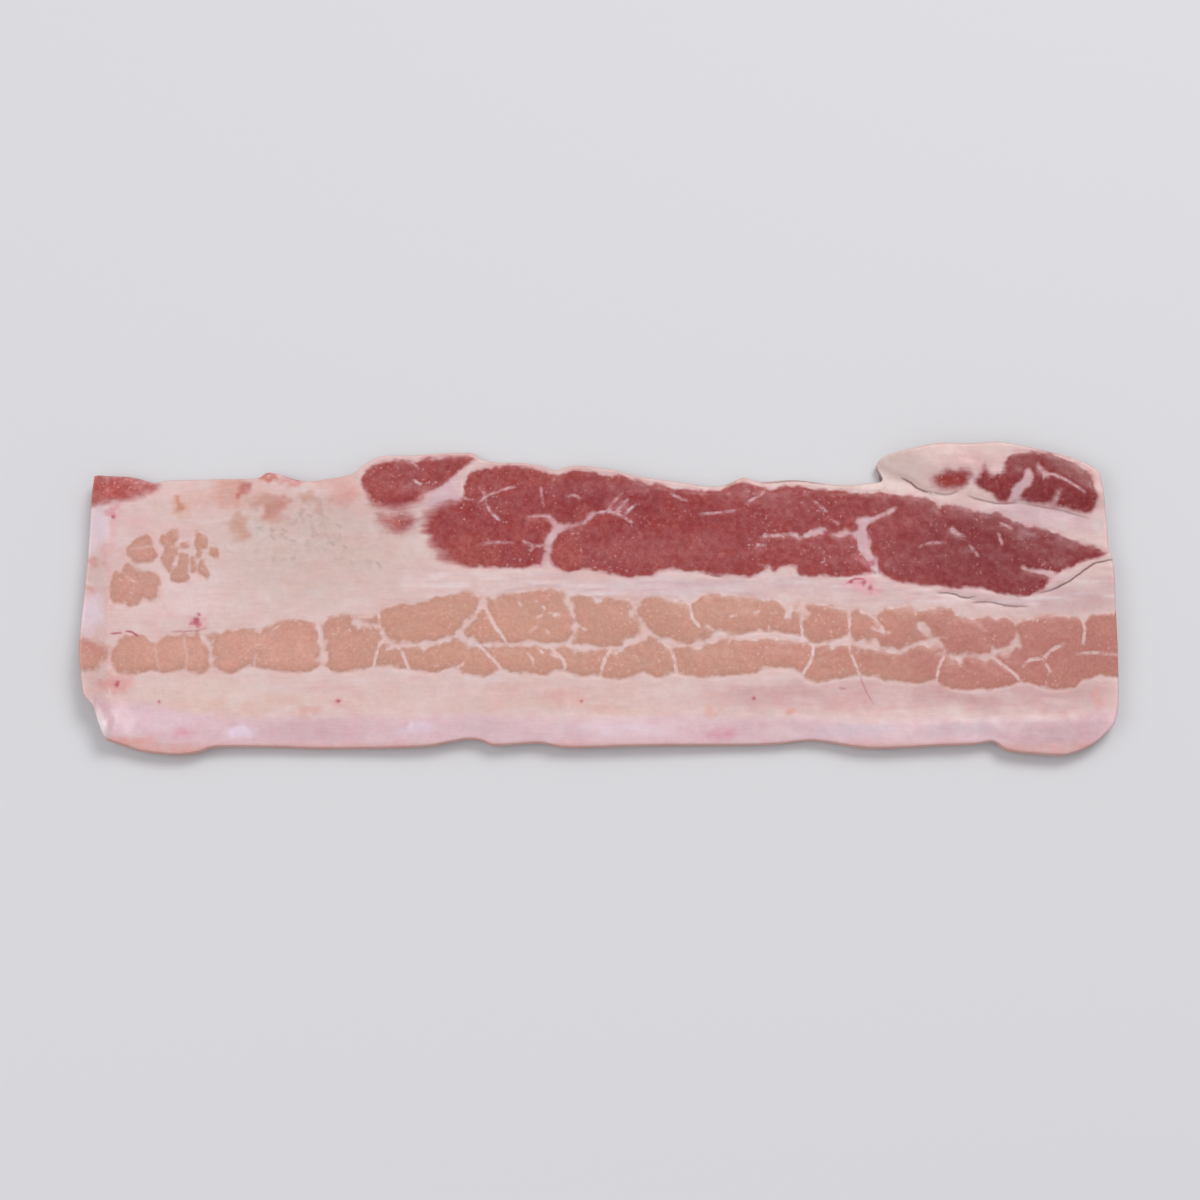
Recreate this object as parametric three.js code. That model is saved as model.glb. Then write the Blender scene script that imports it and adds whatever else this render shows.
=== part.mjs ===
// One raw slice of pork belly, cut straight across the slab and laid on its cut face.
// It is a single piece: a long thin slab of meat and fat with a strip of skin along one side.
//
// Units are millimetres. +X runs along the slice, +Y from the skin side to the meat side, +Z up.
// The origin is under the middle of the slice, on the surface that it lies on.

import * as THREE from 'three';
import { mergeVertices } from 'three/addons/utils/BufferGeometryUtils.js';

// Driving dimensions
const HALF_LENGTH = 80.6; // half of the slice laid out flat; its left end then curls up
const SKIN_Y = -23.3; // the skin side, as a mean line
const MEAT_Y = 18.8; // the meat side, as a mean line
const THICKNESS = 2.0; // the slicer's cut
const SKIN_EXTRA = 0.35; // the skin is stiffer and dries a little thicker
const MEAT_EDGE_THINNING = 0.4; // the loose meat at the far edge is pressed thinner
const EDGE_ROUNDING = 0.35; // how far the two cut faces stop short of the edge

// The outline is four edges, each a smooth curve through a few points that run left to right or skin to meat.
// A point on a long edge is [x, distance outside that edge's mean line].
const SKIN_EDGE = [
  [-77.7, -5.8], [-76.6, -1.9], [-75.4, -0.8], [-69.6, 0.8], [-64.6, 1.3], [-58.2, 0.1],
  [-27.4, 0.1], [-19.6, -1.1], [-14.8, 0.0], [8.2, -0.1], [33.4, -0.9], [42.0, 0.3],
  [58.0, -0.3], [61.0, -0.7], [64.0, 0.9], [72.4, 1.3], [78.6, -2.0],
].map(([x, out]) => new THREE.Vector2(x, SKIN_Y - out));

const MEAT_EDGE = [
  [-78.2, 0.1], [-66.8, -0.1], [-53.2, 0.2], [-46.0, -0.3], [-38.4, 0.6], [-33.6, 3.5],
  [-19.6, 4.3], [-17.6, 3.2], [-8.8, 2.3], [-6.4, 1.5], [-3.4, 2.2], [2.8, 1.4],
  [6.4, 0.4], [18.2, -1.2], [23.0, 0.3], [38.4, -0.9], [44.2, -0.3], [44.8, 2.0],
  [46.6, 3.7], [53.4, 5.5], [62.8, 5.8], [74.2, 3.2], [78.6, 0.7],
].map(([x, out]) => new THREE.Vector2(x, MEAT_Y + out));

// A point on a short end is [distance inside the slice's full half length, y].
const LEFT_END = [
  [2.9, -17.5], [1.5, -14.5], [1.2, -8.7], [1.7, 1.0], [2.1, 8.0], [2.4, 18.9],
].map(([inside, y]) => new THREE.Vector2(inside - HALF_LENGTH, y));

const RIGHT_END = [
  [2.0, -21.3], [0.2, -17.0], [0.0, -3.9], [0.2, 5.3], [1.0, 11.6], [2.0, 19.5],
].map(([inside, y]) => new THREE.Vector2(HALF_LENGTH - inside, y));

// How the slice lies. It is flat on its underside except where its rim has curled or ridden up.
const LEFT_CURL = { from: -75.2, slant: 0.04, bend: 1.4, slope: 0.95 }; // the end that stands up along a fold
const CORNER_CURL = { x: -77.4, y: -20.5, radius: 7.0, height: 1.6 }; // the skin corner, folded over
const RIGHT_LIFT = { from: 73.0, to: HALF_LENGTH, height: 0.9 };
const FLAP = { creaseLeft: [45.0, 17.6], creaseRight: [79.6, 11.0], run: 4.5, height: 2.1 };
const MEAT_RIPPLE = { from: 10.0, to: MEAT_Y, height: 1.0, wavelength: 46.0, phase: 0.6 };
const SKIN_RIPPLE = { from: -18.0, to: SKIN_Y, height: 0.6, wavelength: 71.0, phase: 2.4 };
const SWELL = { height: 0.16, alongX: 17.0, alongY: 13.0 }; // soft unevenness of the upper face

// Facets
const COLUMNS = 80;
const ROWS = 20;
const LAYERS = 2; // the wall has a middle row of points, so its edges are rounded

/** 0 before from, 1 after to, with an even start and end; from may be the larger. */
function ease(value, from, to) {
  const t = THREE.MathUtils.clamp((value - from) / (to - from), 0, 1);
  return t * t * (3 - 2 * t);
}

const edges = {
  skin: new THREE.SplineCurve(SKIN_EDGE),
  meat: new THREE.SplineCurve(MEAT_EDGE),
  left: new THREE.SplineCurve(LEFT_END),
  right: new THREE.SplineCurve(RIGHT_END),
};

/** The place in the plane of the slice at u (0 left, 1 right) and v (0 skin side, 1 meat side). */
function planePoint(u, v) {
  const between = (a, b, t) => a.clone().lerp(b, t);
  const along = between(edges.skin.getPointAt(u), edges.meat.getPointAt(u), v);
  const across = between(edges.left.getPointAt(v), edges.right.getPointAt(v), u);
  const skinCorners = between(SKIN_EDGE[0], SKIN_EDGE.at(-1), u);
  const meatCorners = between(MEAT_EDGE[0], MEAT_EDGE.at(-1), u);
  return along.add(across).sub(between(skinCorners, meatCorners, v));
}

/** Distance past the crease of the flap, towards the meat side; negative on the slice's own side. */
function pastCrease(x, y) {
  const [x0, y0] = FLAP.creaseLeft;
  const [x1, y1] = FLAP.creaseRight;
  const length = Math.hypot(x1 - x0, y1 - y0);
  return ((x1 - x0) * (y - y0) - (y1 - y0) * (x - x0)) / length;
}

/** The height at some distance past the start of a fold: first a bend, then a straight slope. */
function foldHeight(distance, { bend, slope }) {
  const bent = Math.max(distance, 0) ** 2 / (2 * bend);
  return slope * (distance < bend ? bent : distance - bend / 2);
}

/** A ripple that grows from the flat of the slice to its rim. */
function ripple(x, y, { from, to, height, wavelength, phase }) {
  const wave = 0.5 + 0.5 * Math.sin((2 * Math.PI * x) / wavelength + phase);
  return height * wave * ease(y, from, to);
}

function undersideHeight(x, y) {
  const leftCurl = foldHeight(LEFT_CURL.from - LEFT_CURL.slant * y - x, LEFT_CURL);
  const fromCorner = Math.hypot(x - CORNER_CURL.x, y - CORNER_CURL.y);
  const cornerCurl = CORNER_CURL.height * ease(fromCorner, CORNER_CURL.radius, 0);
  const rightLift = RIGHT_LIFT.height * ease(x, RIGHT_LIFT.from, RIGHT_LIFT.to);
  const beyondFlapStart = ease(x, FLAP.creaseLeft[0] - FLAP.run, FLAP.creaseLeft[0]);
  const flapLift = FLAP.height * ease(pastCrease(x, y), 0, FLAP.run) * beyondFlapStart;
  const ripples = ripple(x, y, MEAT_RIPPLE) * (1 - beyondFlapStart) + ripple(x, y, SKIN_RIPPLE);
  return leftCurl + cornerCurl + Math.max(rightLift, flapLift) + ripples;
}

function thicknessAt(x, y) {
  const skin = SKIN_EXTRA * ease(y, SKIN_Y + 6, SKIN_Y + 4);
  const meatEdge = MEAT_EDGE_THINNING * ease(y, MEAT_Y - 3, MEAT_Y);
  const swell = SWELL.height * Math.sin(x / SWELL.alongX * Math.PI) * Math.cos(y / SWELL.alongY * Math.PI);
  return THICKNESS + skin - meatEdge + swell;
}

/** Pulls a rim point of a cut face inwards, so that the wall between the faces is rounded. */
function insetFromRim(parameter, inset) {
  return THREE.MathUtils.clamp(parameter, inset, 1 - inset);
}

function sliceGeometry() {
  const box = new THREE.BoxGeometry(1, 1, 1, COLUMNS, ROWS, LAYERS);
  box.deleteAttribute('normal');
  box.deleteAttribute('uv');
  const geometry = mergeVertices(box);
  const position = geometry.attributes.position;
  for (let i = 0; i < position.count; i += 1) {
    const level = position.getZ(i) + 0.5; // 0 underside, 1 upper face
    const onFace = level === 0 || level === 1;
    const inset = onFace ? EDGE_ROUNDING : 0;
    const u = insetFromRim(position.getX(i) + 0.5, inset / (2 * HALF_LENGTH));
    const v = insetFromRim(position.getY(i) + 0.5, inset / (MEAT_Y - SKIN_Y));
    const { x, y } = planePoint(u, v);
    position.setXYZ(i, x, y, undersideHeight(x, y) + level * thicknessAt(x, y));
  }
  geometry.computeBoundingBox();
  const { min, max } = geometry.boundingBox;
  geometry.translate(-(min.x + max.x) / 2, -(min.y + max.y) / 2, -min.z);
  geometry.computeVertexNormals();
  return geometry;
}

const rawPork = new THREE.MeshStandardMaterial({ color: '#c79385', roughness: 0.45, metalness: 0 });
const slice = new THREE.Mesh(sliceGeometry(), rawPork);
slice.name = 'pork_belly_slice';

const porkBelly = new THREE.Group();
porkBelly.add(slice);

export default porkBelly;
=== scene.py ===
"""A raw slice of pork belly, laid flat: one limp cut through skin, back fat, a pale band of muscle, a seam
of fat and a dark band of muscle. Everything is worked out in millimetres in the slice's own plane, and the
pattern goes straight through it, as it does where a knife has cut across the muscles."""

import math

import bpy
import numpy as np
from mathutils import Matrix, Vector


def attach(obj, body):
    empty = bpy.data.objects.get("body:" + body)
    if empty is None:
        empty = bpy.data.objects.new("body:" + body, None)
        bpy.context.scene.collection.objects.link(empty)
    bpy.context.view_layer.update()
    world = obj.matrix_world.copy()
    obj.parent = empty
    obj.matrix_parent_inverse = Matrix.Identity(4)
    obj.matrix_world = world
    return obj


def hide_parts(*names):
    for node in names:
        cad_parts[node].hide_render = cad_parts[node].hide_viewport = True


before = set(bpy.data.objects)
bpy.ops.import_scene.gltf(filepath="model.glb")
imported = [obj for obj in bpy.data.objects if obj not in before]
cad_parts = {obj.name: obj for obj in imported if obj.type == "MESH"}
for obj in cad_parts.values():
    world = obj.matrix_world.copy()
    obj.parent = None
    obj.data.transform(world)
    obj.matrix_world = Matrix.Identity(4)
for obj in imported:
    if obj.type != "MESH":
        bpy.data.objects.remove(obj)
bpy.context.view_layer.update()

MM = 0.001

# --- The slab ---
# The butcher's slicer takes a 2 mm cut off a chilled belly. It lies on its cut face and keeps the knife's
# flat underside, but its rim has curled up at one end, rippled along the sides and ridden up at the lobe.

HALF_LENGTH = 80.6  # laid out flat
SKIN_Y = -23.3  # mean line of the skin side
MEAT_Y = 18.8  # mean line of the meat side
THICKNESS = 2.0
SKIN_EXTRA = 0.35  # the tough skin has not shrunk back as the fat beside it has
MEAT_EDGE_THINNING = 0.4

SKIN_SIDE = [
    (-76.9, -17.5), (-76.4, -19.3), (-75.6, -21.4), (-75.1, -22.4), (-74.2, -22.7), (-72.2, -23.3),
    (-69.6, -24.1), (-64.6, -24.6), (-61, -24.2), (-58.2, -23.4), (-49, -23.4), (-41.8, -23.6),
    (-27.4, -23.4), (-22.2, -22.6), (-19.6, -22.2), (-17.4, -22.5), (-15.4, -23.2), (-8.8, -22.8),
    (-4.2, -23.5), (8.2, -23.2), (25.8, -23), (33.4, -22.4), (42, -23.6), (52.6, -23.2), (58, -23),
    (61, -22.6), (63.4, -24), (69, -24.6), (72.4, -24.6), (75.8, -23.3), (77.6, -22), (78.6, -21),
]
MEAT_SIDE = [
    (-78.2, 18.9), (-76.8, 19.3), (-72.2, 19.1), (-69.2, 18.3), (-66.8, 18.7), (-59.6, 18.9), (-53.2, 19),
    (-51, 19.9), (-46, 18.5), (-42.4, 18.7), (-38.2, 19.5), (-36.4, 21), (-33.6, 22.4), (-29, 22.6),
    (-24, 23), (-19.6, 23.1), (-18.2, 22.2), (-15.4, 21.6), (-12, 21.6), (-8.8, 21.1), (-6.4, 20.3),
    (-4.4, 20.9), (-1.6, 20.9), (2.8, 20.2), (6.4, 19.2), (13.6, 18.2), (18.2, 17.6), (20.6, 18.1),
    (23, 19.1), (25.8, 18.5), (31.2, 18.8), (38.4, 17.9), (43.8, 18.4), (44.9, 19), (45.4, 21),
    (46.4, 22.3), (48.8, 23.2), (53.4, 24.3), (58, 24.3), (62.8, 24.6), (67.2, 23.8), (70.6, 23),
    (74.2, 22), (77.2, 20.7), (78.6, 19.5),
]
# The short ends, as (how far the end stops short of the half length, share of the way to the meat side)
LEFT_END = [
    (3.7, 0), (2.7, 0.03), (1.9, 0.07), (1.2, 0.24), (1.3, 0.36), (1.6, 0.5), (1.9, 0.68), (2.1, 0.86),
    (2.4, 1),
]
RIGHT_END = [
    (2, 0), (1.2, 0.02), (0.6, 0.05), (0.1, 0.12), (0, 0.3), (0.1, 0.45), (0.2, 0.65), (0.9, 0.72),
    (1, 0.8), (1.5, 0.92), (2, 1),
]


def smooth_line(points, steps=6, closed=False):
    """A Catmull-Rom curve through the points, as an array of rows."""
    p = np.array(points, float)
    ends = (p[-1:], p[:2]) if closed else (2 * p[:1] - p[1:2], 2 * p[-1:] - p[-2:-1])
    p = np.concatenate([ends[0], p, ends[1]])
    t = np.linspace(0, 1, steps, endpoint=False)[None, :, None]
    a, b, c, d = (p[i : len(p) - 3 + i, None] for i in range(4))
    curve = 0.5 * (2 * b + (c - a) * t + (2 * a - 5 * b + 4 * c - d) * t**2 + (3 * b - a - 3 * c + d) * t**3)
    curve = curve.reshape(-1, p.shape[1])
    return curve if closed else np.concatenate([curve, p[-2:-1]])


def beside_line(x, y, line):
    """How far each place is from a line, positive on its left, and how far along it the nearest point is."""
    nearest, share = np.full(x.shape, 1e9), np.zeros(x.shape)
    steps = np.diff(line, axis=0)
    lengths = np.hypot(*steps.T)
    for start, step, length, before in zip(line, steps, lengths, np.cumsum(lengths) - lengths):
        from_x, from_y = x - start[0], y - start[1]
        along = np.clip((from_x * step[0] + from_y * step[1]) / length**2, 0, 1)
        side = np.where(step[0] * from_y < step[1] * from_x, -1, 1)
        distance = np.hypot(from_x - along * step[0], from_y - along * step[1])
        closer = distance < np.abs(nearest)
        nearest = np.where(closer, side * distance, nearest)
        share = np.where(closer, (before + along * length) / lengths.sum(), share)
    return nearest, share


def ease(value, start, stop):
    """0 up to start and 1 from stop on, with an even beginning and end; start may be the larger."""
    t = np.clip((value - start) / (stop - start), 0, 1)
    return t * t * (3 - 2 * t)


def within(value, start, full, last_full, end):
    """1 from full to last_full, easing to 0 at start and at end."""
    return ease(value, start, full) * ease(value, end, last_full)


def ramp(distance, bend):
    """0 before the start, then a bend of the given length into a straight slope of 1."""
    return np.where(distance < bend, np.clip(distance, 0, None) ** 2 / (2 * bend), distance - bend / 2)


def unevenness(x, y, size, seed):
    """Smooth random values from -1 to 1 that change over about size millimetres."""
    lattice = np.random.default_rng(seed).uniform(-1, 1, (64, 64))
    column, row = np.floor(x / size).astype(int), np.floor(y / size).astype(int)
    across, up = ease(x / size - column, 0, 1), ease(y / size - row, 0, 1)

    def corner(i, j):
        return lattice[(column + i) % 64, (row + j) % 64]

    below = corner(0, 0) * (1 - across) + corner(1, 0) * across
    above = corner(0, 1) * (1 - across) + corner(1, 1) * across
    return below * (1 - up) + above * up


def edge_height(points, x):
    curve = smooth_line(points)
    curve[:, 0] = np.maximum.accumulate(curve[:, 0])
    return np.interp(x, curve[:, 0], curve[:, 1])


def end_place(points, share):
    curve = smooth_line(points)
    return np.interp(share, curve[:, 1], HALF_LENGTH - curve[:, 0])


# Small dents in a long side fade out by this share of the way across; only the corners reach further.
SKIN_DENTS_END, MEAT_DENTS_START = 0.22, 0.72
# The loose lobe's left end is a beak that points away from the rest.
BEAK = {"reach": 1.6, "x": (38.0, 44.5, 45.5, 54.0), "y": (18.8, 21.0, 21.4, 24.6)}


def place_in_plane(u, v):
    """Where the slab's point at u (0 left, 1 right) and v (0 skin side, 1 meat side) lies in the plane."""
    x = -end_place(LEFT_END, v) * (1 - u) + end_place(RIGHT_END, v) * u
    skin, meat = edge_height(SKIN_SIDE, x), edge_height(MEAT_SIDE, x)
    soft_skin = np.maximum(skin, SKIN_Y)
    y = soft_skin * (1 - v) + MEAT_Y * v
    y = y + (skin - soft_skin) * ease(v, SKIN_DENTS_END, 0) + (meat - MEAT_Y) * ease(v, MEAT_DENTS_START, 1)
    return x - BEAK["reach"] * within(y, *BEAK["y"]) * within(x, *BEAK["x"]), y


LEFT_CURL = {"start": -75.2, "slant": 0.04, "bend": 1.4, "slope": 0.95}
CORNER_CURL = {"x": -77.4, "y": -20.5, "radius": 7.0, "height": 1.6}
RIGHT_LIFT = {"start": 73.0, "height": 0.9}
MEAT_RIPPLE = {"height": 1.0, "length": 46.0, "turn": 0.6, "start": 10.0}
SKIN_RIPPLE = {"height": 0.6, "length": 71.0, "turn": 2.4, "start": -18.0}
SWELL = {"height": 0.16, "along": 17.0, "across": 13.0}
# The loose lobe has slid over the rest at its free left end and is only creased further on.
LOBE_EDGE = [
    (42.6, 21.9), (44.4, 20.6), (46.4, 19.5), (48.6, 18.6), (50.4, 17.3), (52.4, 16.6), (57, 16.5),
    (60.5, 15.3), (65, 14.9), (70, 14.3), (74, 13.4), (81, 11.4),
]
LOBE_STEP, LOBE_CREASE = 0.7, 0.25
LOBE_STEP_ENDS, LOBE_CREASE_STARTS = 50.0, 60.0
LOBE_RISE, LOBE_RUN = 1.5, 4.5


def ripple(x, y, wave, edge_y):
    """A wave along the slice that grows from its flat part to the edge."""
    swing = 0.5 + 0.5 * np.sin(2 * np.pi * x / wave["length"] + wave["turn"])
    return wave["height"] * swing * ease(y, wave["start"], edge_y)


def lobe_lift(x, y):
    past_edge, _ = beside_line(x, y, smooth_line(LOBE_EDGE, steps=3))
    step = LOBE_CREASE + (LOBE_STEP - LOBE_CREASE) * ease(x, LOBE_CREASE_STARTS, LOBE_STEP_ENDS)
    lift = step * ease(past_edge, -0.4, 0.9) + LOBE_RISE * ease(past_edge, 0, LOBE_RUN)
    return lift * ease(x, 40.0, 43.0)


def underside_height(x, y):
    past_fold = LEFT_CURL["start"] - LEFT_CURL["slant"] * y - x
    left_curl = LEFT_CURL["slope"] * ramp(past_fold, LEFT_CURL["bend"])
    from_corner = np.hypot(x - CORNER_CURL["x"], y - CORNER_CURL["y"])
    corner_curl = CORNER_CURL["height"] * ease(from_corner, CORNER_CURL["radius"], 0)
    right_lift = RIGHT_LIFT["height"] * ease(x, RIGHT_LIFT["start"], HALF_LENGTH)
    meat_wave = ripple(x, y, MEAT_RIPPLE, MEAT_Y) * ease(x, 45.0, 40.5)  # the lobe has no ripples
    skin_wave = ripple(x, y, SKIN_RIPPLE, SKIN_Y)
    return left_curl + corner_curl + np.maximum(right_lift, lobe_lift(x, y)) + meat_wave + skin_wave


def thickness_at(x, y):
    skin = SKIN_EXTRA * ease(y, SKIN_Y + 9, SKIN_Y + 3)
    meat_edge = MEAT_EDGE_THINNING * ease(y, MEAT_Y - 3, MEAT_Y)
    swell = SWELL["height"] * np.sin(np.pi * x / SWELL["along"]) * np.cos(np.pi * y / SWELL["across"])
    return THICKNESS + skin - meat_edge + swell


# The mesh starts as a fine grid for the upper face, its rim extruded into the wall and joined to a coarser
# grid for the underside. Until it is shaped, a point's height is only its level: 0 above and 5 below.
COLUMNS, ROWS = 500, 146
WALL_INSET = [0.30, 0.10, 0.0, 0.0, 0.10, 0.30]  # how far each level stops short of the outline
WALL_DROP = [0.0, 0.06, 0.3, 0.7, 0.94, 1.0]  # how far down the wall each level is
UNDERSIDE = len(WALL_INSET) - 1


def grid_slab(name):
    bpy.ops.object.select_all(action="DESELECT")
    bpy.ops.mesh.primitive_grid_add(x_subdivisions=COLUMNS, y_subdivisions=ROWS, size=2)
    slab = bpy.context.object
    slab.name = slab.data.name = name
    bpy.ops.object.mode_set(mode="EDIT")
    bpy.ops.mesh.select_mode(type="EDGE")
    bpy.ops.mesh.select_all(action="DESELECT")
    bpy.ops.mesh.select_non_manifold()
    for _ in range(UNDERSIDE - 1):
        bpy.ops.mesh.extrude_region_move(TRANSFORM_OT_translate={"value": (0, 0, -1)})
    bpy.ops.mesh.select_all(action="DESELECT")
    bpy.ops.mesh.primitive_grid_add(
        x_subdivisions=COLUMNS // 2, y_subdivisions=ROWS // 2, size=2, location=(0, 0, -UNDERSIDE)
    )
    bpy.ops.mesh.region_to_loop()
    bpy.ops.mesh.subdivide(number_cuts=1)
    bpy.ops.mesh.select_all(action="DESELECT")
    bpy.ops.mesh.select_non_manifold()
    bpy.ops.mesh.bridge_edge_loops()
    bpy.ops.mesh.select_all(action="SELECT")
    bpy.ops.mesh.normals_make_consistent(inside=False)
    bpy.ops.mesh.select_all(action="DESELECT")
    bpy.ops.object.mode_set(mode="OBJECT")
    return slab


slab = grid_slab("sliced_pork_belly")
grid = np.empty(len(slab.data.vertices) * 3)
slab.data.vertices.foreach_get("co", grid)
grid_x, grid_y, grid_z = grid.reshape(-1, 3).T
level = np.rint(-grid_z).astype(int)
inset = np.array(WALL_INSET)[level]
shrunk_x = grid_x * (1 - inset / HALF_LENGTH)
shrunk_y = grid_y * (1 - inset * 2 / (MEAT_Y - SKIN_Y))
plan_x, plan_y = place_in_plane((shrunk_x + 1) / 2, (shrunk_y + 1) / 2)
wall = (level > 0) & (level < UNDERSIDE)

# --- The muscles and their marbling ---
# Cut across, each muscle is a bundle of fibres in a net of fat. The dark band is coarse, wet and nearly
# whole, the pale band is two rows of small bundles, and towards the curled end both break up into fat.

DARK_BAND = [
    (-22.4, 5.5), (-24.8, 7.2), (-26.4, 9.4), (-26.6, 11.8), (-25.6, 13.7), (-23.4, 15), (-21.4, 15.2),
    (-20.4, 16.6), (-20.4, 18.4), (-19, 20), (-16.6, 20.8), (-12.6, 20.9), (-8.8, 20.4), (-6.6, 19.4),
    (-5.8, 19), (-4.6, 19.9), (-2.4, 20.2), (0.6, 19.6), (3.2, 19.3), (6.4, 18.5), (9.6, 17.7),
    (13.6, 17.2), (18, 16.8), (20.6, 17.3), (22.6, 18.3), (24.4, 18), (27.6, 17.3), (30.6, 17.7), (36, 17),
    (40.6, 16.5), (44.4, 16.7), (50.6, 15.9), (52.6, 15.2), (53.4, 13.8), (54.4, 14.6), (57.6, 14),
    (61, 13), (62.6, 13.3), (64.4, 12.2), (67, 11.6), (72.4, 9.9), (77.6, 7.5), (79.2, 6.8), (75.8, 5.7),
    (72.4, 4.2), (70.9, 3.2), (69.6, 1.6), (68, 0.7), (66, 0.3), (63.4, 0.5), (60.5, 1.5), (54.4, 1.7),
    (47.4, 2.4), (45.2, 3), (42.8, 3.7), (38.4, 3.3), (31.8, 3.6), (31, 4.8), (29.2, 5.2), (27.8, 4.3),
    (26.6, 5.2), (25.2, 3.7), (18.4, 3.6), (15.4, 4.1), (9.8, 4.5), (9, 3.4), (4, 3.3), (-1, 4.5),
    (-4.2, 4.1), (-7.4, 4.9), (-12.4, 4.8), (-16.8, 4.7),
]
FIRST_LOBE = [
    (-36.6, 18.6), (-35.2, 20.4), (-33, 21.5), (-30.2, 21.9), (-28.4, 21.4), (-27, 21.9), (-24, 22.3),
    (-20, 22.5), (-18.8, 22.1), (-20.4, 20.9), (-22.6, 19.2), (-24.4, 17.3), (-26.6, 16.6), (-27.8, 15.4),
    (-29.4, 14.2), (-32, 14), (-34.6, 15), (-36, 16.8),
]
LOBE_CRUMB = [
    (-34, 12.9), (-31.4, 13.1), (-29, 12.9), (-28.4, 12), (-29.2, 10.9), (-31.2, 10.5), (-33.2, 11.4),
]
CORNER_WEDGE = [
    (-80.5, 18.9), (-77, 19.5), (-74, 19.2), (-71.4, 18.9), (-69, 18.1), (-68.6, 17.3), (-70.4, 16.3),
    (-73, 15.4), (-76, 15), (-77.2, 14.6), (-80.5, 13.8),
]
LOOSE_NEAR = [
    (52.6, 18.6), (53.8, 19.6), (56, 20), (58.4, 19.8), (58.4, 18.9), (56.8, 17.6), (53.6, 17.2),
]
LOOSE_MAIN = [
    (58.9, 18.2), (60.2, 19.6), (60.7, 20.8), (61.4, 19.3), (63.4, 19.5), (63.8, 21.2), (65, 22.4),
    (67.6, 22.9), (70.6, 22.5), (74, 21.4), (76.6, 19.8), (77.8, 17.2), (77.6, 14.4), (76.6, 13.3),
    (73.8, 14), (70.8, 14.6), (68.6, 15), (66, 15.4), (64, 15.1), (62.4, 15.5), (61.4, 16.6), (59.8, 17.4),
]
PALE_BAND = [
    (-74.8, -9.6), (-74.4, -7.4), (-72.8, -6), (-70.6, -5.9), (-69, -6.8), (-68, -7.2), (-66.4, -6.1),
    (-63.6, -6), (-61.8, -5.7), (-60.2, -6), (-57.4, -5.4), (-53.8, -4.9), (-52.4, -5.4), (-50.4, -4.4),
    (-48.4, -3.7), (-43.6, -3.7), (-42.4, -4.2), (-40.8, -3.1), (-38.6, -2.8), (-35.6, -3.3), (-33.6, -2.2),
    (-32.4, -1.6), (-29.6, -1), (-26.4, -0.7), (-24.8, 0.4), (-22.4, 0.3), (-19.8, 0.8), (-17.9, 0),
    (-16, -0.2), (-13.4, 0.5), (-10.8, 0.9), (-8.2, 1.2), (-5.4, 0.9), (-4.2, 0), (-2.6, 0.4), (-0.6, 0.2),
    (0.2, -0.6), (2, -0.3), (5, -0.3), (6.2, -0.9), (8.4, -0.1), (11.7, -0.4), (14.4, -1), (16.6, 0.5),
    (20.4, 0.3), (24.4, -0.1), (28.4, -0.5), (30.4, -1.2), (31.8, -0.8), (36.4, -1.3), (38.4, -2),
    (39.4, -2.5), (40.6, -2), (43.3, -3.3), (44.8, -1.8), (48.5, -1.6), (49.6, -2.4), (51.9, -1.8),
    (55.1, -1.9), (55.9, -3.2), (60.5, -3.4), (63.8, -3.2), (65, -3.8), (67.4, -3.4), (70.2, -2.9),
    (74.2, -3), (75.5, -3.9), (76.8, -3.2), (82.5, -3), (82.5, -12), (78, -12.4), (75.2, -12.9),
    (73.8, -14), (70.6, -14.4), (67.6, -13.6), (65.8, -13.2), (62, -14.2), (56.8, -14.4), (53.8, -13.9),
    (52.6, -12.7), (49.8, -13.4), (46, -13.1), (41.4, -12.2), (37.6, -12.6), (34.8, -13.3), (32.6, -12.9),
    (31.4, -11.7), (28.6, -11), (25.6, -11.2), (24.4, -11.9), (20.6, -12.3), (14.2, -12.3), (12.4, -11.7),
    (9.4, -12.6), (7.4, -11.6), (4.4, -12.8), (0.6, -12.2), (-2.4, -12.5), (-5, -11.5), (-7.4, -12),
    (-9.6, -11.8), (-12.6, -11.9), (-14.2, -11.2), (-17.4, -12.3), (-20.4, -12.1), (-22, -11),
    (-25.6, -11.7), (-28.4, -11.2), (-31, -10.8), (-34.6, -10.8), (-38, -11.6), (-41, -11.4),
    (-42.6, -10.8), (-46, -11.8), (-50, -11.4), (-53.2, -10.8), (-56.4, -11.8), (-58.6, -11.2),
    (-59.6, -10.8), (-61.4, -12.1), (-63, -11.6), (-64, -11), (-66.4, -12), (-68.8, -11.3), (-71.4, -12),
    (-73.8, -11.7),
]
ROUND_THE_CURL = [
    (-82, -7.4), (-78, -7.2), (-75.9, -7.5), (-75.4, -9), (-76.4, -10.8), (-78, -11.8), (-82, -12.6),
]
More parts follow.
